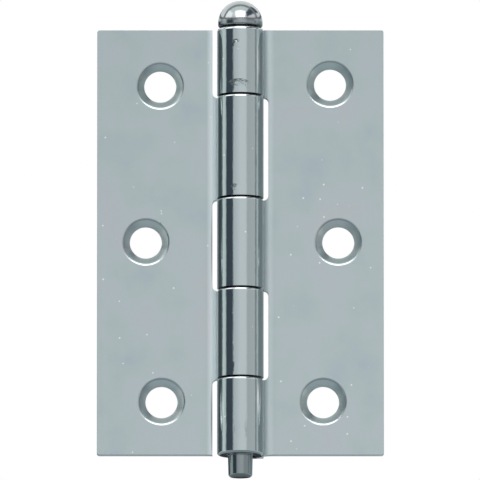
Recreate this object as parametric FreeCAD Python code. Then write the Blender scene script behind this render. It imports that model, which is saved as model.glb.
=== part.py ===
import FreeCAD, Part
import math
import os

from FreeCAD import Vector

# Butt hinge with a loose pin, laid open flat. Millimetres.
# The origin is on the pin's axis at the leaves' mid-height. X runs across the leaves,
# -Y faces the countersinks, and +Z runs up the pin towards its head.

# Sheet of both leaves
sheet_thickness = 2.2
leaf_width = 30.0
leaf_face_setback = 1.8
leaf_corner_radius = 0.5

# Knuckles from the top down: the frame leaf has the first, third and fifth. The lengths fill
# the leaf's height, and the last knuckle reaches a little below it.
top_knuckle = 14.3
upper_knuckle = 21.75
middle_knuckle = 19.2
lower_knuckle = 18.85
bottom_knuckle = 15.9
knuckle_gap = 0.4
bottom_overhang = 0.4
knuckle_edge_chamfer = 0.2
top_end_radius = 0.7
bottom_end_radius = 0.7

# Rolled eye, and the step in the sheet between it and the flat of the leaf
eye_end_gap = 0.1
step_start = 6.2
step_run = 2.8

# Notches that the other leaf's knuckles turn in
notch_clearance = 1.0
notch_corner_radius = 1.0

# Pin
pin_radius = 2.6
pin_clearance = 0.05
pin_tip_length = 5.0
pin_tip_radius = 2.5
pin_tip_rounding = 0.6
head_radius = 4.65
head_band = 0.9
head_gap = 0.3
head_edge_rounding = 0.4

# Screw holes, all alike: the wall, and the rim of the 90 degree countersink
hole_radius = 3.35
countersink_radius = 4.83
countersink_angle = 90.0

# Their places: in from the leaf's outer edge, and in from its top or bottom end
frame_upper_hole_inset = 11.2
frame_upper_hole_drop = 11.4
frame_middle_hole_inset = 9.5
frame_lower_hole_inset = 12.7
frame_lower_hole_rise = 11.3
door_upper_hole_inset = 13.2
door_upper_hole_drop = 11.8
door_middle_hole_inset = 10.2
door_lower_hole_inset = 13.5
door_lower_hole_rise = 11.3
middle_hole_lift = 0.1

# Sizes that follow from the ones above
knuckle_lengths = [top_knuckle, upper_knuckle, middle_knuckle, lower_knuckle, bottom_knuckle]
leaf_height = sum(knuckle_lengths)
leaf_top = leaf_height / 2
leaf_bottom = -leaf_top
knuckle_bottom = leaf_bottom - bottom_overhang
bore_radius = pin_radius + pin_clearance
eye_radius = bore_radius + sheet_thickness
notch_edge = eye_radius + notch_clearance
past = 2.0


def bent_strip(start, heading, path, thickness):
    """Face of a strip of even thickness along a path of straight runs and turns.

    A step of the path is (length, 0) for a run, or (radius, degrees) for a turn, which is
    counterclockwise when the degrees are positive. Radii are those of the centre line.
    """
    sides = {-1: [], 1: []}
    point = start

    def beside(centre_point, degrees, side):
        angle = math.radians(degrees)
        left = Vector(-math.sin(angle), math.cos(angle), 0)
        return centre_point + left * (side * thickness / 2)

    caps = [Part.LineSegment(beside(point, heading, -1), beside(point, heading, 1))]
    for length, turn in path:
        if turn == 0:
            angle = math.radians(heading)
            stations = [point, point + Vector(math.cos(angle), math.sin(angle), 0) * length]
            headings = [heading, heading]
        else:
            centre = beside(point, heading, 0)
            angle = math.radians(heading)
            centre += Vector(-math.sin(angle), math.cos(angle), 0) * math.copysign(length, turn)
            stations = [turned(point, centre, turn * share) for share in (0, 0.5, 1)]
            headings = [heading + turn * share for share in (0, 0.5, 1)]
        for side, edges in sides.items():
            ends = [beside(p, h, side) for p, h in zip(stations, headings)]
            edges.append(Part.LineSegment(*ends) if turn == 0 else Part.Arc(*ends))
        point = stations[-1]
        heading = headings[-1]
    caps.append(Part.LineSegment(beside(point, heading, -1), beside(point, heading, 1)))
    edges = [curve.toShape() for curve in sides[-1] + sides[1] + caps]
    return Part.Face(Part.Wire(Part.__sortEdges__(edges)))


def turned(point, centre, degrees):
    """A point turned about a centre in the XY plane."""
    angle = math.radians(degrees)
    arm = point - centre
    return centre + Vector(
        arm.x * math.cos(angle) - arm.y * math.sin(angle),
        arm.x * math.sin(angle) + arm.y * math.cos(angle),
        0,
    )


def eye_end_angle():
    """Angle of the rolled sheet's end, which stops just in front of the leaf's flat face."""
    return math.degrees(math.asin((leaf_face_setback - eye_end_gap) / eye_radius))


def leaf_section():
    """Section of the right-hand leaf: flat, a step towards the back, then the rolled eye."""
    flat_line = leaf_face_setback + sheet_thickness / 2
    eye_line = bore_radius + sheet_thickness / 2
    rise = eye_line - flat_line
    step_radius = (rise ** 2 + step_run ** 2) / (4 * rise)
    step_angle = 2 * math.degrees(math.atan(rise / step_run))
    path = [
        (leaf_width - step_start, 0),
        (step_radius, -step_angle),
        (step_radius, step_angle),
        (step_start - step_run, 0),
        (eye_line, 270 + eye_end_angle()),
    ]
    return bent_strip(Vector(leaf_width, flat_line, 0), 180, path, sheet_thickness)


def notch(low, high):
    """Cutter for one notch: from beyond the eye to the notch's edge, its corners rounded."""
    near = -eye_radius - past
    block = Part.makeBox(
        notch_edge - near, 2 * (eye_radius + past), high - low,
        Vector(near, -eye_radius - past, low),
    )
    corners = [
        edge for edge in block.Edges
        if abs(edge.CenterOfMass.x - notch_edge) < 1e-6 and edge.Length > 2 * eye_radius
        and abs(edge.Vertexes[0].Z - edge.Vertexes[1].Z) < 1e-6
    ]
    return block.makeFillet(notch_corner_radius, corners)


def end_ring(end, direction, size, rounded):
    """Cutter for the outer edge of a knuckle's end, from the eye's back to its free end.

    The edge is rounded to a radius of the given size, or chamfered by it.
    """
    bend = size * (1 - math.sqrt(0.5))
    face = Vector(eye_radius - size, 0, end)
    middle = Vector(eye_radius - bend, 0, end - direction * bend)
    wall = Vector(eye_radius, 0, end - direction * size)
    outside = Vector(eye_radius + size, 0, end - direction * size)
    corner = Vector(eye_radius + size, 0, end + direction * size)
    above = Vector(eye_radius - size, 0, end + direction * size)
    edges = [
        Part.Arc(face, middle, wall).toShape() if rounded else Part.makeLine(face, wall),
        Part.makeLine(wall, outside),
        Part.makeLine(outside, corner),
        Part.makeLine(corner, above),
        Part.makeLine(above, face),
    ]
    profile = Part.Face(Part.Wire(edges))
    profile.rotate(Vector(0, 0, 0), Vector(0, 0, 1), 90)
    return profile.revolve(Vector(0, 0, 0), Vector(0, 0, 1), 270 + eye_end_angle())


def screw_hole(x, z):
    """Cutter for one hole: its wall, and the countersink that opens on the front face."""
    depth = (countersink_radius - hole_radius) / math.tan(math.radians(countersink_angle / 2))
    flare = past * math.tan(math.radians(countersink_angle / 2))
    wall = Part.makeCylinder(
        hole_radius, sheet_thickness + 2 * past,
        Vector(x, leaf_face_setback - past, z), Vector(0, 1, 0),
    )
    cone = Part.makeCone(
        countersink_radius + flare, hole_radius, depth + past,
        Vector(x, leaf_face_setback - past, z), Vector(0, 1, 0),
    )
    return wall.fuse(cone)


def knuckle_spans():
    """Lowest and highest point of each knuckle's place along the pin, from the top down."""
    spans = []
    top = leaf_top
    for length in knuckle_lengths:
        spans.append((top - length, top))
        top -= length
    return spans


def leaf(own, hole_places):
    """A right-hand leaf whose own knuckles are the given ones, with its holes."""
    blank = leaf_section().extrude(Vector(0, 0, leaf_height + bottom_overhang))
    blank.translate(Vector(0, 0, knuckle_bottom))
    blank = blank.cut(Part.makeBox(
        leaf_width, 2 * eye_radius, bottom_overhang,
        Vector(eye_radius, -eye_radius, knuckle_bottom),
    ))
    blank = blank.makeFillet(leaf_corner_radius, [
        edge for edge in blank.Edges
        if abs(edge.CenterOfMass.x - leaf_width) < 1e-6
        and abs(edge.Vertexes[0].Z - edge.Vertexes[1].Z) < 1e-6
    ])
    half_gap = knuckle_gap / 2
    last = len(knuckle_lengths) - 1
    cutters = [screw_hole(x, z) for x, z in hole_places]
    for number, (low, high) in enumerate(knuckle_spans()):
        if number in own and number == 0:
            cutters.append(end_ring(high, 1, top_end_radius, True))
        elif number in own:
            cutters.append(end_ring(high - half_gap, 1, knuckle_edge_chamfer, False))
        if number in own and number == last:
            cutters.append(end_ring(knuckle_bottom, -1, bottom_end_radius, True))
        elif number in own:
            cutters.append(end_ring(low + half_gap, -1, knuckle_edge_chamfer, False))
        if number not in own:
            cutters.append(notch(
                low - half_gap if number < last else low - past,
                high + half_gap if number > 0 else high + past,
            ))
    return blank.cut(cutters)


def frame_leaf():
    """Right-hand leaf, with three knuckles and three screw holes."""
    return leaf((0, 2, 4), [
        (leaf_width - frame_upper_hole_inset, leaf_top - frame_upper_hole_drop),
        (leaf_width - frame_middle_hole_inset, middle_hole_lift),
        (leaf_width - frame_lower_hole_inset, leaf_bottom + frame_lower_hole_rise),
    ])


def door_leaf():
    """Left-hand leaf, with two knuckles: made like the other and turned over side to side."""
    right_hand = leaf((1, 3), [
        (leaf_width - door_upper_hole_inset, leaf_top - door_upper_hole_drop),
        (leaf_width - door_middle_hole_inset, middle_hole_lift),
        (leaf_width - door_lower_hole_inset, leaf_bottom + door_lower_hole_rise),
    ])
    return right_hand.mirror(Vector(0, 0, 0), Vector(1, 0, 0))


def hinge_pin():
    """Turned pin: a domed head above the top knuckle, and a tip that shows below the last."""
    seat = leaf_top + head_gap
    dome = seat + head_band
    tip = leaf_bottom - pin_tip_length
    slope = math.sqrt(0.5)
    tip_round_off = pin_tip_rounding * (1 - slope)
    head_round_off = head_edge_rounding * (1 - slope)
    edges = [
        Part.makeLine(Vector(0, 0, tip), Vector(pin_tip_radius - pin_tip_rounding, 0, tip)),
        Part.Arc(
            Vector(pin_tip_radius - pin_tip_rounding, 0, tip),
            Vector(pin_tip_radius - tip_round_off, 0, tip + tip_round_off),
            Vector(pin_tip_radius, 0, tip + pin_tip_rounding),
        ).toShape(),
        Part.makeLine(
            Vector(pin_tip_radius, 0, tip + pin_tip_rounding),
            Vector(pin_radius, 0, knuckle_bottom),
        ),
        Part.makeLine(Vector(pin_radius, 0, knuckle_bottom), Vector(pin_radius, 0, seat)),
        Part.makeLine(
            Vector(pin_radius, 0, seat), Vector(head_radius - head_edge_rounding, 0, seat)
        ),
        Part.Arc(
            Vector(head_radius - head_edge_rounding, 0, seat),
            Vector(head_radius - head_round_off, 0, seat + head_round_off),
            Vector(head_radius, 0, seat + head_edge_rounding),
        ).toShape(),
        Part.makeLine(
            Vector(head_radius, 0, seat + head_edge_rounding), Vector(head_radius, 0, dome)
        ),
        Part.Arc(
            Vector(head_radius, 0, dome),
            Vector(head_radius * slope, 0, dome + head_radius * slope),
            Vector(0, 0, dome + head_radius),
        ).toShape(),
        Part.makeLine(Vector(0, 0, dome + head_radius), Vector(0, 0, tip)),
    ]
    return Part.Face(Part.Wire(edges)).revolve(Vector(0, 0, 0), Vector(0, 0, 1), 360)


nodes = {
    "frame_leaf": frame_leaf(),
    "door_leaf": door_leaf(),
    "hinge_pin": hinge_pin(),
}

os.makedirs("parts", exist_ok=True)
for name, shape in nodes.items():
    shape.exportStep("parts/" + name + ".step")
    box = shape.BoundBox
    print(
        name, "valid", shape.isValid(), "solids", len(shape.Solids),
        "volume", round(shape.Volume, 2),
        "x", round(box.XMin, 2), round(box.XMax, 2),
        "y", round(box.YMin, 2), round(box.YMax, 2),
        "z", round(box.ZMin, 2), round(box.ZMax, 2),
    )
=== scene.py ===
import math

import bmesh
import bpy
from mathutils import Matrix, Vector


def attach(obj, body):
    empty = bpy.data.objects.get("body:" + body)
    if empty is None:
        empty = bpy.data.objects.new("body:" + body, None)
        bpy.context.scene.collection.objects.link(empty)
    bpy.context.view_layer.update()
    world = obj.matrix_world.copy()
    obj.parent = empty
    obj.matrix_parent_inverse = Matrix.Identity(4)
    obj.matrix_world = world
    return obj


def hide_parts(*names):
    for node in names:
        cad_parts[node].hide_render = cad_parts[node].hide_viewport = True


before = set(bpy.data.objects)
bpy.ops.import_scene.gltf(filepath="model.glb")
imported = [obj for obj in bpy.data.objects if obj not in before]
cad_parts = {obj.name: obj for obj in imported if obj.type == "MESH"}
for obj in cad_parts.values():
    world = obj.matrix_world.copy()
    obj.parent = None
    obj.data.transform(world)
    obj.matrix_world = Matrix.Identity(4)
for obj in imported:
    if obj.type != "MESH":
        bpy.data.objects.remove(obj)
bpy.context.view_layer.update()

# Camera. It looks square at the open leaves from a little below them, as the photograph does,
# but from far off: the leaves' edges stay parallel and the undersides of the knuckles show.
bpy.ops.object.select_all(action="DESELECT")
view_distance = 4.0
view_from_below = math.radians(9.0)
view_centre = Vector((-0.00008, 0.0, 0.00017))
view_width = 0.10045
film_width = 36
to_camera = Vector((0, -math.cos(view_from_below), -math.sin(view_from_below)))
bpy.ops.object.camera_add(
    location=view_centre + view_distance * to_camera,
    rotation=(math.radians(90) + view_from_below, 0, 0),
)
camera = bpy.context.object
camera.name = "camera"
camera.data.sensor_width = film_width
camera.data.lens = film_width * view_distance / view_width
camera.data.clip_start = 0.1
camera.data.clip_end = 60
bpy.context.scene.camera = camera
bpy.context.scene.view_settings.view_transform = "Standard"

# Room. A white tent of even light stands round the hinge, and a plain pale floor lies so far
# below it that the camera can also look up at the hinge.
room = bpy.data.worlds.new("white_tent")
room.use_nodes = True
room.node_tree.nodes["Background"].inputs["Color"].default_value = (1, 1, 1, 1)
room.node_tree.nodes["Background"].inputs["Strength"].default_value = 1.0
bpy.context.scene.world = room

floor_height = -4.5
bpy.ops.mesh.primitive_plane_add(size=80, location=(0, 0, floor_height))
floor = bpy.context.object
floor.name = "floor"
floor_paint = bpy.data.materials.new("pale_floor")
floor_paint.use_nodes = True
floor_shader = floor_paint.node_tree.nodes["Principled BSDF"]
floor_shader.inputs["Base Color"].default_value = (0.86, 0.86, 0.86, 1)
floor_shader.inputs["Roughness"].default_value = 0.9
floor_shader.inputs["Specular IOR Level"].default_value = 0.1
floor.data.materials.append(floor_paint)

# Screens. Dark and pale paper screens stand in rings round the hinge, with a soft box over the
# lens, a hoop of grey card, and lights, flags and grey sheets. The camera doesn't see them, but
# polished knuckles reflect them as bands of light and dark.
ring_radius = 0.4
ring_foot = -0.105
ring_top = 0.122
upper_ring_top = 0.155
ring_edge_foot = 0.1555
ring_edge_top = 0.2005
hoop_radius = 0.5
hoop_depth = 0.13
hoop_foot = 0.22


def feed(tree, socket, value):
    """Links a socket to the one that feeds it, or sets it to a number or a colour."""
    if isinstance(value, bpy.types.NodeSocket):
        tree.links.new(value, socket)
    else:
        socket.default_value = (*value, 1) if isinstance(value, tuple) else value


def calculate(tree, operation, first, second):
    """The result of one operation on two values, each a socket or a number."""
    node = tree.nodes.new("ShaderNodeMath")
    node.operation = operation
    feed(tree, node.inputs[0], first)
    feed(tree, node.inputs[1], second)
    return node.outputs["Value"]


def fade(tree, value, start, end, at_start=0.0, at_end=1.0):
    """A share that changes evenly while the value goes from start to end, and not beyond."""
    node = tree.nodes.new("ShaderNodeMapRange")
    node.inputs["From Min"].default_value = start
    node.inputs["From Max"].default_value = end
    node.inputs["To Min"].default_value = at_start
    node.inputs["To Max"].default_value = at_end
    tree.links.new(value, node.inputs["Value"])
    return node.outputs["Result"]


def ramp(tree, value, stops):
    """The colour that a value has on a ramp, where each stop is a position and a colour."""
    node = tree.nodes.new("ShaderNodeValToRGB")
    elements = node.color_ramp.elements
    for number, (position, colour) in enumerate(stops):
        stop = elements[number] if number < 2 else elements.new(position)
        stop.position = position
        stop.color = (*colour, 1)
    tree.links.new(value, node.inputs["Fac"])
    return node.outputs["Color"]


def glow(name, colour, strength=1.0):
    """A material that gives off one even colour."""
    material = bpy.data.materials.new(name)
    material.use_nodes = True
    tree = material.node_tree
    tree.nodes.remove(tree.nodes["Principled BSDF"])
    light = tree.nodes.new("ShaderNodeEmission")
    light.inputs["Color"].default_value = (*colour, 1)
    light.inputs["Strength"].default_value = strength
    tree.links.new(light.outputs["Emission"], tree.nodes["Material Output"].inputs["Surface"])
    return material


def ring_paper(name, stops):
    """Glowing paper whose colour changes with the heading round the hinge, in degrees."""
    paper = glow(name, (1, 1, 1))
    tree = paper.node_tree
    position = tree.nodes.new("ShaderNodeTexCoord")
    parts = tree.nodes.new("ShaderNodeSeparateXYZ")
    tree.links.new(position.outputs["Object"], parts.inputs["Vector"])
    to_front = calculate(tree, "MULTIPLY", parts.outputs["Y"], -1)
    heading = calculate(tree, "ARCTAN2", parts.outputs["X"], to_front)
    share = fade(tree, heading, -math.pi, math.pi)
    colour = ramp(tree, share, [((degrees + 180) / 360, tone) for degrees, tone in stops])
    tree.links.new(colour, tree.nodes["Emission"].inputs["Color"])
    return paper


def ring_screen(name, low, high):
    """A screen bent into a full ring round the hinge, between two heights."""
    bpy.ops.mesh.primitive_cylinder_add(
        vertices=180, radius=ring_radius, depth=high - low, location=(0, 0, (low + high) / 2),
        end_fill_type="NOTHING",
    )
    screen = bpy.context.object
    screen.name = name
    return screen


def put_up(screen, paper):
    """Covers a screen with its paper and hides it from all but the metal's reflections."""
    screen.data.materials.append(paper)
    screen.visible_camera = False
    screen.visible_diffuse = False
    screen.visible_shadow = False


put_up(ring_screen("screen_ring", ring_foot, ring_top), ring_paper("ring_paper", [
    (-180, (0.04, 0.065, 0.10)), (-130, (0.045, 0.07, 0.105)), (-119, (0.42, 0.5, 0.5)),
    (-94, (0.98, 1.06, 1.04)), (-80, (0.9, 0.98, 0.95)), (-72, (0.08, 0.10, 0.13)),
    (-40, (0.09, 0.11, 0.14)), (-33, (0.8, 0.83, 0.85)), (0, (1.06, 1.06, 1.08)),
    (26, (1.06, 1.06, 1.07)), (36, (0.74, 0.75, 0.76)), (76, (0.78, 0.79, 0.8)),
    (80, (0.40, 0.42, 0.44)), (86, (0.42, 0.44, 0.46)), (90, (0.78, 0.82, 0.83)),
    (105, (0.7, 0.75, 0.76)), (112, (0.45, 0.55, 0.58)), (180, (0.43, 0.52, 0.56)),
]))
put_up(ring_screen("upper_ring", ring_top, upper_ring_top), ring_paper("upper_ring_paper", [
    (degrees, (tone, 1.03 * tone, 1.05 * tone)) for degrees, tone in (
        (-180, 0.55), (-132, 0.8), (-115, 0.42), (-97, 0.85), (-84, 0.8), (-74, 0.25),
        (-44, 0.26), (-33, 0.32), (-24, 0.27), (-8, 0.98), (12, 0.98), (30, 0.42),
        (40, 0.3), (72, 0.3), (86, 0.72), (102, 0.72), (122, 0.5), (144, 0.75), (180, 0.55),
    )
]))
put_up(ring_screen("ring_edge", ring_edge_foot, ring_edge_top), glow("ring_edge_paper", (0.16, 0.18, 0.2)))

bpy.ops.mesh.primitive_cylinder_add(
    vertices=120, radius=hoop_radius, depth=hoop_depth, location=(0, hoop_depth / 2, 0),
    rotation=(math.radians(90), 0, 0), end_fill_type="NOTHING",
)
hoop = bpy.context.object
hoop.name = "grey_hoop"
bpy.ops.object.transform_apply(location=True, rotation=True, scale=True)
bpy.ops.object.mode_set(mode="EDIT")
bpy.ops.mesh.select_all(action="SELECT")
bpy.ops.mesh.bisect(plane_co=(0, 0, hoop_foot), plane_no=(0, 0, 1), clear_inner=True)
bpy.ops.object.mode_set(mode="OBJECT")
put_up(hoop, glow("hoop_card", (0.3, 0.32, 0.33)))

# Flat screens: each one's name, size, place, turn in degrees, colour and strength
for name, size, place, turn, colour, strength in (
    ("soft_box", (2.0, 1.9), (0, -1.72, 1.73), (45, 0, 0), (1, 1, 1), 2.6),
    ("dark_flag", (1.1, 0.46), (0.45, -0.1, 0.60), (90, 0, 90), (0.06, 0.08, 0.12), 1.0),
    ("side_light", (0.6, 0.42), (-0.45, -0.1, 0.38), (90, 0, 90), (1.0, 1.0, 0.98), 1.5),
    ("top_light", (1.4, 1.3), (0, 0.1, 1.0), (0, 0, 0), (0.94, 1.0, 0.98), 0.95),
    ("small_flag", (0.06, 0.03), (0, 0.1, -0.066), (90, 0, 0), (0.5, 0.55, 0.57), 1.0),
    ("tip_flag", (0.011, 0.0112), (0, 0.03, -0.0527), (90, 0, 0), (0.05, 0.06, 0.07), 1.0),
    ("under_sheet", (1.2, 1.16), (0, 0.42, -0.35), (0, 0, 0), (0.5, 0.58, 0.61), 1.0),
    ("under_strip", (1.6, 0.96), (0, -0.64, -0.35), (0, 0, 0), (0.42, 0.47, 0.49), 1.0),
):
    bpy.ops.mesh.primitive_plane_add(
        size=1, location=place, rotation=[math.radians(degrees) for degrees in turn],
    )
    flat_screen = bpy.context.object
    flat_screen.name = name
    flat_screen.scale = (*size, 1)
    put_up(flat_screen, glow(name + "_paper", colour, strength))

# Leaves. Each is one strip of zinc-plated steel sheet 2.2 mm thick: a flat with three countersunk
# screw holes, a step towards the back, and an eye rolled round the pin. Punched notches leave
# room for the other leaf's knuckles, and the sheared edges are eased.
sheet = 0.0022
leaf_width = 0.030
leaf_half_height = 0.045
face_setback = 0.0018
flat_line = face_setback + sheet / 2
bore = 0.00265
eye_line = bore + sheet / 2
eye = bore + sheet
eye_end_gap = 0.0001
eye_facets = 116
step_start = 0.0062
step_run = 0.0028
notch_edge = eye + 0.0010
notch_corner = 0.0010
knuckle_bottom = -0.0454
top_round = 0.0007
seam_round = 0.0006
bottom_round = 0.00055
outer_corner = 0.0005
eased_edge = 0.00007
broken_edge = 0.00013
hole_radius = 0.00335
hole_facets = 120
sink_depth = 0.00148
rim_radius = hole_radius + sink_depth
rim_round = 0.00028

# How deep a cutting block and a drill are, how far cutters reach past what they cut, and how
# far an edge of the bent sheet may lie from its place
block_depth = 0.016
drill_depth = 0.004
overshoot = 0.002
hair = 0.00004


def near(value, wanted, within=2e-6):
    """Whether a measure is as good as the wanted one."""
    return abs(value - wanted) < within


def take(piece):
    """Makes a piece the only one that is worked on."""
    bpy.ops.object.select_all(action="DESELECT")
    piece.select_set(True)
    bpy.context.view_layer.objects.active = piece


def open_mesh(piece, kind):
    """Takes a piece and opens its mesh, to pick faces, edges or verts of it."""
    take(piece)
    bpy.ops.object.mode_set(mode="EDIT")
    bpy.ops.mesh.select_mode(type=kind)


def pick(piece, kind, wanted):
    """Selects, in an open mesh, the faces, edges or verts whose middle passes the test."""
    mesh = bmesh.from_edit_mesh(piece.data)
    for part in (*mesh.faces, *mesh.edges, *mesh.verts):
        part.select_set(False)
    for part in getattr(mesh, kind):
        points = [v.co for v in getattr(part, "verts", [part])]
        if wanted(sum(points, Vector()) / len(points), part):
            part.select_set(True)
    bmesh.update_edit_mesh(piece.data)


def round_picked(radius, steps):
    """Rounds the picked edges; the new faces give way to the large ones in the shading."""
    bpy.ops.mesh.bevel(
        offset=radius, offset_type="OFFSET", segments=steps, profile=0.5, affect="EDGES",
        face_strength_mode="AFFECTED",
    )


def step_line():
    """Points along the step's two even bends and on over the pin: how far in, how far back."""
    rise = eye_line - flat_line
    radius = (rise ** 2 + step_run ** 2) / (4 * rise)
    full_turn = 2 * math.atan(rise / step_run)
    bends = 8
    turns = [full_turn * bend / bends for bend in range(bends + 1)]
    first_bend = [(radius * math.sin(turn), radius * (1 - math.cos(turn))) for turn in turns]
    second_bend = [(step_run - run, rise - back) for run, back in reversed(first_bend[:-1])]
    return first_bend + second_bend + [(step_start, rise)]


def rolled_sheet(name, side):
    """A leaf's blank: the flat, the step, and the eye; side is 1 to the right, -1 to the left."""
    bpy.ops.mesh.primitive_plane_add(
        size=1, rotation=(math.radians(90), 0, 0),
        location=(side * (step_start + leaf_width) / 2, flat_line, (knuckle_bottom + leaf_half_height) / 2),
    )
    leaf = bpy.context.object
    leaf.name = name
    leaf.scale = (leaf_width - step_start, leaf_half_height - knuckle_bottom, 1)
    bpy.ops.object.transform_apply(location=True, rotation=True, scale=True)
    open_mesh(leaf, "EDGE")
    pick(leaf, "edges", lambda middle, edge: near(middle.x, side * step_start))
    line = step_line()
    for (run, back), (next_run, next_back) in zip(line, line[1:]):
        bpy.ops.mesh.extrude_region_move(
            TRANSFORM_OT_translate={"value": (-side * (next_run - run), next_back - back, 0)},
        )
    eye_turn = math.radians(270) + math.asin((face_setback - eye_end_gap) / eye)
    bpy.ops.mesh.spin(steps=eye_facets, angle=-side * eye_turn, center=(0, 0, 0), axis=(0, 0, 1))
    bpy.ops.mesh.select_all(action="SELECT")
    bpy.ops.mesh.remove_doubles(threshold=1e-6)
    bpy.ops.mesh.normals_make_consistent(inside=False)
    bpy.ops.object.mode_set(mode="OBJECT")
    thickness = leaf.modifiers.new("thickness", "SOLIDIFY")
    thickness.thickness = sheet
    thickness.offset = 0
    bpy.ops.object.modifier_apply(modifier=thickness.name)
    return leaf


def block(x_start, x_end, low, high):
    """A block to cut with, which reaches through the leaf from front to back."""
    bpy.ops.mesh.primitive_cube_add(size=1, location=((x_start + x_end) / 2, 0, (low + high) / 2))
    cutter = bpy.context.object
    cutter.scale = (abs(x_end - x_start), block_depth, high - low)
    bpy.ops.object.transform_apply(location=True, rotation=True, scale=True)
    return cutter


def cut(leaf, cutter):
    """Takes the cutter's shape out of the leaf, and the cutter out of the scene."""
    take(leaf)
    difference = leaf.modifiers.new("cut", "BOOLEAN")
    difference.operation = "DIFFERENCE"
    difference.solver = "MANIFOLD"
    difference.object = cutter
    bpy.ops.object.modifier_apply(modifier=difference.name)
    bpy.data.objects.remove(cutter)


def ease_outline(leaf):
    """Rounds the flat's two outer corners and eases the sheared edges of its outline."""
    open_mesh(leaf, "VERT")
    for end in (-leaf_half_height, leaf_half_height):
        pick(leaf, "verts", lambda middle, vert: (
            near(middle.z, end) and near(abs(middle.x), step_start, hair)
        ))
        bpy.ops.mesh.vert_connect()
    bpy.ops.mesh.select_mode(type="EDGE")
    pick(leaf, "edges", lambda middle, edge: (
        near(abs(middle.x), leaf_width) and abs(edge.verts[0].co.y - edge.verts[1].co.y) > sheet / 2
    ))
    round_picked(outer_corner, 8)
    pick(leaf, "edges", lambda middle, edge: (
        all(abs(v.co.x) > step_start - hair for v in edge.verts)
        and near(edge.verts[0].co.y, edge.verts[1].co.y)
        and edge.calc_face_angle(0) > math.radians(60)
    ))
    round_picked(eased_edge, 3)
    bpy.ops.object.mode_set(mode="OBJECT")


def notch(leaf, side, low, high):
    """Punches one notch, from beyond the eye to the notch's edge, its corners rounded."""
    punch = block(-side * (eye + overshoot), side * notch_edge, low, high)
    open_mesh(punch, "EDGE")
    pick(punch, "edges", lambda middle, edge: near(middle.x, side * notch_edge) and near(middle.y, 0))
    round_picked(notch_corner, 10)
    bpy.ops.object.mode_set(mode="OBJECT")
    cut(leaf, punch)


def screw_hole(leaf, x, z):
    """Drills one screw hole and sinks its 90 degree countersink into the front face."""
    open_mesh(leaf, "FACE")
    for point, direction in (((x, 0, 0), (1, 0, 0)), ((0, 0, z), (0, 0, 1))):
        pick(leaf, "faces", lambda middle, face: abs(middle.x) > step_start)
        bpy.ops.mesh.bisect(plane_co=point, plane_no=direction)
    bpy.ops.object.mode_set(mode="OBJECT")
    wall_start = face_setback + sink_depth
    bpy.ops.mesh.primitive_cylinder_add(
        vertices=hole_facets, radius=hole_radius, depth=drill_depth,
        location=(x, wall_start + drill_depth / 2, z),
        rotation=(math.radians(90), math.radians(180 / hole_facets), 0),
    )
    drill = bpy.context.object
    bpy.ops.object.transform_apply(location=True, rotation=True, scale=True)
    open_mesh(drill, "FACE")
    pick(drill, "faces", lambda middle, face: near(middle.y, wall_start) and len(face.verts) > 4)
    cone = sink_depth + overshoot
    bpy.ops.mesh.extrude_region_move(TRANSFORM_OT_translate={"value": (0, -cone, 0)})
    grow = (hole_radius + cone) / hole_radius
    bpy.ops.transform.resize(value=(grow, 1, grow), center_override=(x, wall_start - cone, z))
    bpy.ops.object.mode_set(mode="OBJECT")
    cut(leaf, drill)


def round_rim(leaf, x, z):
    """Rounds a countersink's rim, where the tool broke the sheet's surface."""
    open_mesh(leaf, "EDGE")
    pick(leaf, "edges", lambda middle, edge: all(
        near(v.co.y, face_setback) and near(math.hypot(v.co.x - x, v.co.z - z), rim_radius)
        for v in edge.verts
    ))
    round_picked(rim_round, 5)
    bpy.ops.object.mode_set(mode="OBJECT")


def round_end(leaf, end, radius):
    """Rounds the eye's outer edge at one end of a knuckle."""
    open_mesh(leaf, "VERT")
    pick(leaf, "verts", lambda middle, vert: (
        near(middle.z, end) and near(middle.x, 0, hair) and middle.y > 0
    ))
    bpy.ops.mesh.vert_connect()
    bpy.ops.mesh.select_mode(type="EDGE")
    pick(leaf, "edges", lambda middle, edge: all(
        near(v.co.z, end) and near(math.hypot(v.co.x, v.co.y), eye) for v in edge.verts
    ))
    round_picked(radius, 6)
    bpy.ops.object.mode_set(mode="OBJECT")


def soften(leaf):
    """Breaks every sharp edge by a little, as tumbling and plating leave it."""
    take(leaf)
    edges = leaf.modifiers.new("soft_edges", "BEVEL")
    edges.width = broken_edge
    edges.segments = 3
    edges.limit_method = "ANGLE"
    edges.angle_limit = math.radians(32)
    edges.use_clamp_overlap = True
    edges.face_strength_mode = "FSTR_AFFECTED"
    bpy.ops.object.modifier_apply(modifier=edges.name)
    bpy.ops.object.shade_smooth()
    shading = leaf.modifiers.new("even_shading", "WEIGHTED_NORMAL")
    shading.mode = "FACE_AREA"
    shading.weight = 90
    shading.keep_sharp = False
    shading.use_face_influence = True
    bpy.ops.object.modifier_apply(modifier=shading.name)


def knuckle_shade_and_highlight(middle, normal, tops):
    """How much painted shade and painted highlight a face of the eye gets: painted shade on the flat
    knuckle ends in the gaps and under the bottom knuckle, painted highlights on the rounded upper edges,
    strongest in front.
    """
    from_pin = math.hypot(middle.x, middle.y)
    in_front = max(0, -middle.y / from_pin)
    at_bottom = middle.z < knuckle_bottom + bottom_round + hair
    # Painted shade under the knuckle: full on its bottom face and the back of its rounding, less on the
    # front
    if at_bottom and normal.z < -0.15:
        faces_down = normal.z < -0.8
        return (1.0 if faces_down or middle.y > -0.001 else 0.3), 0.0
    # Painted highlight on the rounded upper edges, strongest in front
    for top in tops:
        by_edge = from_pin > eye - top_round and top - top_round < middle.z < top
        if by_edge and 0.02 < normal.z < 0.98:
            return 0.0, 0.35 + 0.65 * in_front ** 3
    # Painted shade on the flat ends, in the gaps between knuckles
    return (1.0 if abs(normal.z) > 0.9 else 0.0), 0.0


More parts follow.
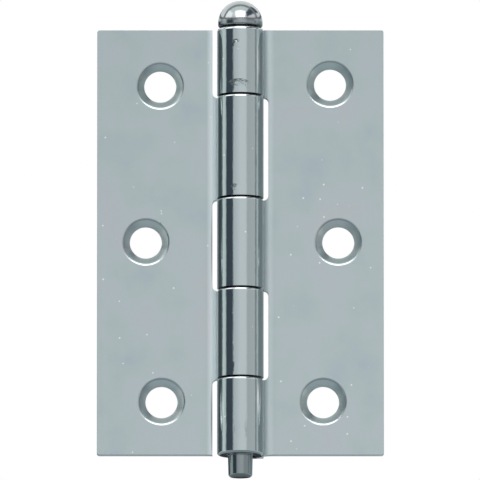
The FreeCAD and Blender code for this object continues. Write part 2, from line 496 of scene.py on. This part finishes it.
def hole_shade_and_highlight(middle, holes):
    """How much painted shade and painted highlight a face by a hole gets: a faint painted highlight on the
    cone, a burr's dark line painted as shade on the rim's upper and left side, and painted highlights on
    the rim's right side and lower crescent.
    """
    cone_start = hole_radius + 0.00005
    cone_end = rim_radius - 0.00021
    burr_end = rim_radius - 0.00008
    crescent_start = rim_radius - 0.00018
    crescent_end = rim_radius + 0.00029
    crescent_heading = math.radians(262)
    for x, z in holes:
        out = math.hypot(middle.x - x, middle.z - z)
        lower = math.cos(math.atan2(middle.z - z, middle.x - x) - crescent_heading)
        # A faint painted highlight over the whole cone
        if cone_start < out < cone_end:
            return 0.0, 0.2
        # The burr's dark line, painted as shade on the rim's upper and left side and fading out to the
        # right, where a painted highlight takes over
        if cone_end < out < burr_end and lower < 0.55:
            righter = max(0, middle.x - x) / out
            return 0.6 * min(1, (0.55 - lower) / 0.3) * (1 - righter ** 4), 0.5 * righter ** 8
        # Painted highlight on the rim's lower crescent
        if crescent_start < out < crescent_end and lower > 0.5:
            return 0.0, 0.62 * min(1, (lower - 0.5) / 0.35)
    return 0.0, 0.0


def mark_painted_light(leaf, tops, holes):
    """Marks the painted shade and the painted highlight of each face, for the steel's colour to follow."""
    sink_floor = face_setback + sink_depth + 0.00002
    painted_shade = leaf.data.attributes.new("painted_shade", "FLOAT", "FACE")
    painted_highlight = leaf.data.attributes.new("painted_highlight", "FLOAT", "FACE")
    for face, shade_here, highlight_here in zip(leaf.data.polygons, painted_shade.data, painted_highlight.data):
        middle = face.center
        if math.hypot(middle.x, middle.y) < eye:
            shade_here.value, highlight_here.value = knuckle_shade_and_highlight(middle, face.normal, tops)
        elif middle.y <= sink_floor and abs(face.normal.y) <= 0.998:
            shade_here.value, highlight_here.value = hole_shade_and_highlight(middle, holes)


def make_leaf(name, side, notches, holes, knuckle_ends):
    """Makes one leaf: rolled, trimmed below its flat, notched, drilled, its edges rounded."""
    leaf = rolled_sheet(name, side)
    past_leaf = leaf_width + overshoot
    cut(leaf, block(side * eye, side * past_leaf, knuckle_bottom - overshoot, -leaf_half_height))
    ease_outline(leaf)
    for low, high in notches:
        notch(leaf, side, low, high)
    for x, z in holes:
        screw_hole(leaf, x, z)
        round_rim(leaf, x, z)
    for end, radius in knuckle_ends:
        round_end(leaf, end, radius)
    soften(leaf)
    mark_painted_light(leaf, [end for end, radius in knuckle_ends], holes)
    return leaf


# The heights of the seams between knuckles, from the top down, and half the gap at each
seams = (0.0307, 0.00895, -0.01025, -0.0291)
half_gap = 0.0001

frame_leaf = make_leaf(
    "frame_leaf_plate", side=1,
    notches=((seams[1] - half_gap, seams[0] + half_gap), (seams[3] - half_gap, seams[2] + half_gap)),
    holes=((0.0188, 0.0336), (0.0205, 0.0001), (0.0173, -0.0337)),
    knuckle_ends=(
        (leaf_half_height, top_round), (seams[1] - half_gap, seam_round), (seams[3] - half_gap, seam_round),
        (knuckle_bottom, bottom_round),
    ),
)
door_leaf = make_leaf(
    "door_leaf_plate", side=-1,
    notches=(
        (seams[0] - half_gap, leaf_half_height + overshoot), (seams[2] - half_gap, seams[1] + half_gap),
        (knuckle_bottom - overshoot, seams[3] + half_gap),
    ),
    holes=((-0.0168, 0.0332), (-0.0198, 0.0001), (-0.0165, -0.0337)),
    knuckle_ends=((seams[0] - half_gap, seam_round), (seams[2] - half_gap, seam_round)),
)


def grain(tree, position, scale, detail, roughness=0.5):
    """Uneven noise over the metal, the finer the larger its scale."""
    node = tree.nodes.new("ShaderNodeTexNoise")
    node.inputs["Scale"].default_value = scale
    node.inputs["Detail"].default_value = detail
    node.inputs["Roughness"].default_value = roughness
    tree.links.new(position, node.inputs["Vector"])
    return node.outputs["Fac"]


def relief(tree, height, depth, under=None):
    """A surface made uneven by the height, down to the depth, over the relief under it."""
    node = tree.nodes.new("ShaderNodeBump")
    node.inputs["Strength"].default_value = 1.0
    node.inputs["Distance"].default_value = depth
    tree.links.new(height, node.inputs["Height"])
    if under:
        tree.links.new(under, node.inputs["Normal"])
    return node.outputs["Normal"]


def lay_over(tree, under, mask, colour):
    """Lays one colour over what is under it, as far as the mask says."""
    node = tree.nodes.new("ShaderNodeMix")
    node.data_type = "RGBA"
    feed(tree, node.inputs[0], mask)
    feed(tree, node.inputs[6], under)
    feed(tree, node.inputs[7], colour)
    return node.outputs[2]


def spot(tree, position, centre, size):
    """A mask that is 1 in the middle of a small ellipsoid and falls to 0 at its surface."""
    shift = tree.nodes.new("ShaderNodeVectorMath")
    shift.operation = "SUBTRACT"
    shift.inputs[1].default_value = centre
    tree.links.new(position, shift.inputs[0])
    share = tree.nodes.new("ShaderNodeVectorMath")
    share.operation = "DIVIDE"
    share.inputs[1].default_value = size
    tree.links.new(shift.outputs["Vector"], share.inputs[0])
    out = tree.nodes.new("ShaderNodeVectorMath")
    out.operation = "LENGTH"
    tree.links.new(share.outputs["Vector"], out.inputs[0])
    return fade(tree, out.outputs["Value"], 0.35, 1.0, 1.0, 0.0)


leaf_steel = bpy.data.materials.new("leaf_steel")
leaf_steel.use_nodes = True
steel = leaf_steel.node_tree
steel_shader = steel.nodes["Principled BSDF"]
steel_shader.inputs["Metallic"].default_value = 1.0
on_leaf = steel.nodes.new("ShaderNodeTexCoord").outputs["Object"]
leaf_parts = steel.nodes.new("ShaderNodeSeparateXYZ")
steel.links.new(on_leaf, leaf_parts.inputs["Vector"])
across = steel.nodes.new("ShaderNodeCombineXYZ")
steel.links.new(leaf_parts.outputs["X"], across.inputs["X"])
steel.links.new(leaf_parts.outputs["Y"], across.inputs["Y"])
to_pin = steel.nodes.new("ShaderNodeVectorMath")
to_pin.operation = "LENGTH"
steel.links.new(across.outputs["Vector"], to_pin.inputs[0])
from_pin = to_pin.outputs["Value"]
centimetres_from_pin = calculate(steel, "MULTIPLY", from_pin, 100.0)

# Polish: bright on the rolled knuckles, rough in the step's bends, satin on the flat
polish = ramp(steel, centimetres_from_pin, [
    (centimetres, (roughness, roughness, roughness)) for centimetres, roughness in (
        (0.49, 0.07), (0.5, 0.85), (0.57, 0.8), (0.61, 0.5), (0.78, 0.3),
    )
])
steel.links.new(polish, steel_shader.inputs["Roughness"])

# Plating: one bluish grey on the knuckles, and soft bluish and greenish clouds on the flat
knuckle_zinc = (0.42, 0.48, 0.49)
clouds = ramp(steel, grain(steel, on_leaf, 95.0, 3.0, 0.55), [
    (0.30, (0.355, 0.42, 0.45)), (0.45, (0.385, 0.45, 0.45)), (0.58, (0.395, 0.452, 0.47)),
    (0.70, (0.41, 0.445, 0.46)),
])
colour = lay_over(steel, knuckle_zinc, fade(steel, from_pin, 0.0049, 0.0065), clouds)

# Painted highlight: the step's bends are painted pale, as where they catch the light, more on the left leaf
# than on the right one
painted_bend_highlight = ramp(steel, centimetres_from_pin, [
    (centimetres, (shine, shine, shine)) for centimetres, shine in (
        (0.49, 0.0), (0.5, 1.0), (0.57, 1.0), (0.61, 0.5), (0.73, 0.0),
    )
])
more_on_left = fade(steel, leaf_parts.outputs["X"], -0.004, 0.004, 1.0, 0.5)
colour = lay_over(steel, colour, calculate(steel, "MULTIPLY", painted_bend_highlight, more_on_left), (0.88, 0.96, 0.98))

# Painted highlights: pale streaks on the knuckles, where dents reflect more light; and painted shade: dark
# lines along the left leaf's two lower notches, where the notch walls lie in shade. Each one's middle, half
# size, strength and tone
for centre, size, strength, tone in (
    ((0.0039, -0.0029, -0.0340), (0.00055, 0.0012, 0.0046), 1.0, 1.0),
    ((-0.0039, -0.0029, -0.0362), (0.0005, 0.0012, 0.0048), 0.55, 1.0),
    ((0.0038, -0.0030, 0.0372), (0.00045, 0.001, 0.0060), 0.5, 1.0),
    ((-0.00597, 0.0026, -0.0007), (0.00031, 0.0016, 0.0106), 1.0, 0.24),
    ((-0.00597, 0.0026, -0.0373), (0.00035, 0.0016, 0.0105), 1.0, 0.16),
):
    painted_mark = calculate(steel, "MULTIPLY", spot(steel, on_leaf, centre, size), strength)
    colour = lay_over(steel, colour, painted_mark, (tone, tone, tone))

# Specks in the plating: small pale dots, scattered over both leaves
cells = steel.nodes.new("ShaderNodeTexVoronoi")
cells.inputs["Scale"].default_value = 330.0
steel.links.new(on_leaf, cells.inputs["Vector"])
cell_colour = steel.nodes.new("ShaderNodeSeparateColor")
steel.links.new(cells.outputs["Color"], cell_colour.inputs["Color"])
chosen = calculate(steel, "GREATER_THAN", cell_colour.outputs["Red"], 0.3)
dots = fade(steel, cells.outputs["Distance"], 0.042, 0.078, 1.0, 0.0)
colour = lay_over(steel, colour, calculate(steel, "MULTIPLY", dots, chosen), (0.66, 0.72, 0.73))

# Painted shade and painted highlights: dark and pale tints laid over the steel on the faces marked for them
# on each leaf
for mark, tint in (("painted_shade", (0.13, 0.15, 0.16)), ("painted_highlight", (0.9, 0.95, 0.95))):
    marked = steel.nodes.new("ShaderNodeAttribute")
    marked.attribute_name = mark
    colour = lay_over(steel, colour, marked.outputs["Fac"], tint)
steel.links.new(colour, steel_shader.inputs["Base Color"])

# Rolling left long faint waves on the knuckles, and its tool five small patches of dents,
# each with its middle and half size
stretch = steel.nodes.new("ShaderNodeMapping")
stretch.inputs["Scale"].default_value = (1.0, 1.0, 0.35)
steel.links.new(on_leaf, stretch.inputs["Vector"])
waves = relief(steel, grain(steel, stretch.outputs["Vector"], 600.0, 4.0, 0.6), 0.00003)
dented = 0.0
for centre, size in (
    ((-0.0004, -0.0048, 0.0324), (0.0026, 0.002, 0.0013)),
    ((-0.0009, -0.0048, 0.0412), (0.0009, 0.002, 0.0009)),
    ((-0.0012, -0.0047, 0.0103), (0.0012, 0.002, 0.0011)),
    ((-0.0010, -0.0047, -0.0277), (0.0013, 0.002, 0.0016)),
    ((0.0003, -0.0048, -0.0405), (0.0016, 0.002, 0.0022)),
):
    dented = calculate(steel, "MAXIMUM", dented, spot(steel, on_leaf, centre, size))
dent_height = calculate(steel, "MULTIPLY", dented, grain(steel, on_leaf, 1300.0, 3.0))
steel.links.new(relief(steel, dent_height, 0.0001, waves), steel_shader.inputs["Normal"])

for leaf in (frame_leaf, door_leaf):
    leaf.data.materials.clear()
    leaf.data.materials.append(leaf_steel)
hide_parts("frame_leaf")
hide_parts("door_leaf")
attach(frame_leaf, "frame_side")
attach(door_leaf, "door_side")

# Pin. A loose pin turned from round bar and plated: a domed head that rests above the top
# knuckle, a plain shank through all five knuckles, and a tip that shows below the last.
pin_radius = 0.0026
head_radius = 0.00465
head_round = 0.0004
seat = leaf_half_height + 0.0003
band_top = seat + 0.0009
tip = -0.050
tip_radius = 0.0025
tip_round = 0.0006
pin_facets = 128
bpy.ops.object.select_all(action="DESELECT")
bpy.ops.mesh.primitive_cylinder_add(
    vertices=pin_facets, radius=pin_radius, depth=seat - knuckle_bottom,
    location=(0, 0, (seat + knuckle_bottom) / 2),
)
pin = bpy.context.object
pin.name = "pin_turned"
bpy.ops.object.transform_apply(location=True, rotation=True, scale=True)


def turn_on(rings, radius, height):
    """Carries the picked end face on from ring to ring, each ring a radius and a height."""
    for next_radius, next_height in rings:
        bpy.ops.mesh.extrude_region_move(TRANSFORM_OT_translate={"value": (0, 0, next_height - height)})
        grow = next_radius / radius
        bpy.ops.transform.resize(value=(grow, grow, 1), center_override=(0, 0, next_height))
        radius = next_radius
        height = next_height


head = [(head_radius - head_round, seat)]
end = [(tip_radius, tip + tip_round)]
for degrees in (15, 30, 45, 60, 75, 90):
    sine = math.sin(math.radians(degrees))
    cosine = math.cos(math.radians(degrees))
    head.append((head_radius - head_round + head_round * sine, seat + head_round * (1 - cosine)))
    end.append((tip_radius - tip_round + tip_round * cosine, tip + tip_round * (1 - sine)))
for degrees in range(0, 89, 4):
    turn = math.radians(degrees)
    head.append((head_radius * math.cos(turn), band_top + head_radius * math.sin(turn)))
open_mesh(pin, "FACE")
pick(pin, "faces", lambda middle, face: near(middle.z, seat))
turn_on(head, pin_radius, seat)
bpy.ops.mesh.merge(type="CENTER")
pick(pin, "faces", lambda middle, face: near(middle.z, knuckle_bottom))
turn_on(end, pin_radius, knuckle_bottom)
bpy.ops.object.mode_set(mode="OBJECT")
bpy.ops.object.shade_smooth_by_angle(angle=math.radians(35))

# The pin is one steel, but its colour is painted with shade along its length, as a share from the tip up:
# painted shade on the tip's edge, its side painted a darker grey, painted shade on the shank inside the
# knuckles where it shows in the gaps, and painted shade on the head's underside and band, below the pale
# dome
pin_steel = bpy.data.materials.new("pin_steel")
pin_steel.use_nodes = True
pin_metal = pin_steel.node_tree
pin_shader = pin_metal.nodes["Principled BSDF"]
pin_shader.inputs["Metallic"].default_value = 1.0
pin_shader.inputs["Roughness"].default_value = 0.16
on_pin = pin_metal.nodes.new("ShaderNodeTexCoord").outputs["Object"]
pin_parts = pin_metal.nodes.new("ShaderNodeSeparateXYZ")
pin_metal.links.new(on_pin, pin_parts.inputs["Vector"])
pin_share = fade(pin_metal, pin_parts.outputs["Z"], tip, band_top + head_radius)
pin_colour_and_shade = ramp(pin_metal, pin_share, [
    (0.0, (0.10, 0.12, 0.125)), (0.004, (0.23, 0.27, 0.28)), (0.046, (0.23, 0.27, 0.28)),
    (0.05, (0.1, 0.11, 0.12)), (0.944, (0.1, 0.11, 0.12)), (0.946, (0.26, 0.29, 0.3)),
    (0.953, (0.30, 0.33, 0.34)), (0.957, (0.5, 0.54, 0.55)),
])
pin_metal.links.new(pin_colour_and_shade, pin_shader.inputs["Base Color"])
pin.data.materials.clear()
pin.data.materials.append(pin_steel)
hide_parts("hinge_pin")
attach(pin, "loose_pin")
